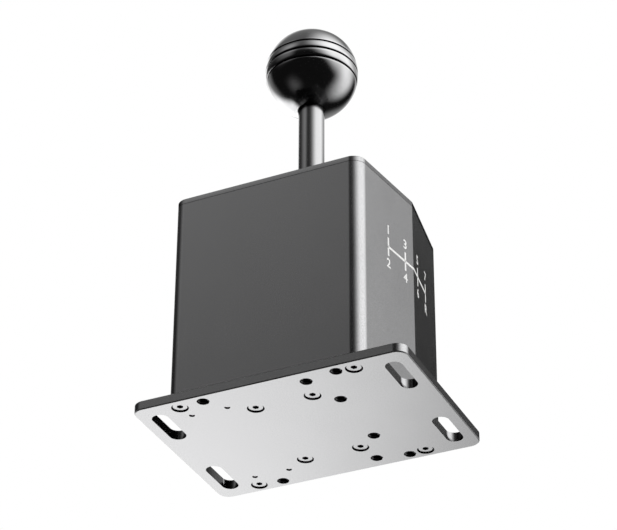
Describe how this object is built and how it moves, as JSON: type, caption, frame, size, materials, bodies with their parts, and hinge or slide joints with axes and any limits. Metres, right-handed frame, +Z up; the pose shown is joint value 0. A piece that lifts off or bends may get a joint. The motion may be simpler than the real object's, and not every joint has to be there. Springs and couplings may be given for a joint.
{
  "type": "sim racing gear shifter",
  "caption": "Desktop or rig-mounted H-pattern gear shifter with a ball knob, a box housing with a pointed front and a slotted base plate.",
  "frame": {"origin": "centre of the base plate's bottom face", "axes": "+Z up along the lever, -Y towards the driver, whom the housing's pointed front faces, +X to the driver's right"},
  "size_m": [0.101, 0.1438, 0.2415],
  "materials": {
    "black_anodised": "black anodised, fine satin",
    "knob_black": "black anodised, polished",
    "graphite_anodised": "grey anodised, milled",
    "black_oxide": "black oxide",
    "gate_steel": "brushed along the columns",
    "bright_steel": "ground",
    "bronze": "turned",
    "magnet_nickel": "nickel plated",
    "circuit_board": "solder mask",
    "chip_black": "moulded",
    "port_black": "moulded",
    "contact_gold": "gold plated",
    "header_white": "moulded",
    "cable_grey": "flat ribbon",
    "damper_polymer": "die cut sheet"
  },
  "bodies": {
    "case": {"base_plate": "black_anodised", "base_screws": "black_oxide", "housing": "black_anodised", "top_cover": "black_anodised", "cover_screws": "black_oxide", "gate_plate": "gate_steel", "gate_damper": "damper_polymer", "gate_screws": "black_oxide", "front_pedestal": "graphite_anodised", "rear_pedestal": "graphite_anodised", "front_bearing": "bright_steel", "rear_bearing": "bright_steel", "front_bearing_cap": "black_anodised", "rear_bearing_cap": "black_anodised", "bearing_cap_screws": "bright_steel", "left_spring_bridge": "graphite_anodised", "right_spring_bridge": "graphite_anodised", "bridge_screws": "bright_steel", "left_centring_spring": "bright_steel", "right_centring_spring": "bright_steel", "sensor_board": "circuit_board", "sensor_chip": "chip_black", "sensor_board_screws": "bright_steel", "sensor_cable": "cable_grey", "main_board": "circuit_board", "controller_chip": "chip_black", "cable_headers": "header_white", "board_standoffs": "bright_steel", "board_screws": "bright_steel", "data_port": "port_black", "port_contacts": "contact_gold"},
    "cradle": {"cradle": "graphite_anodised", "cradle_axles": "bright_steel", "cradle_bushes": "bronze", "detent_plungers": "bright_steel"},
    "lever": {"pivot_hub": "graphite_anodised", "trunnion_pins": "bright_steel", "hub_set_screws": "black_oxide", "lever_rod": "black_anodised", "magnet_holder": "graphite_anodised", "sensor_magnet": "magnet_nickel", "knob_ball": "knob_black", "knob_insert": "bronze", "knob_cap": "black_anodised"}
  },
  "joints": [
    {"name": "column_select", "type": "hinge", "parent": "case", "child": "cradle", "pos_m": [0, -0.0008, 0.042], "axis": [0, 1, 0], "range_deg": [-10, 20], "stiffness_Nm_per_rad": 4, "deforming": ["left_centring_spring", "right_centring_spring"]},
    {"name": "gear_shift", "type": "hinge", "parent": "cradle", "child": "lever", "pos_m": [0, -0.0008, 0.042], "axis": [1, 0, 0], "range_deg": [-11, 11]}
  ]
}
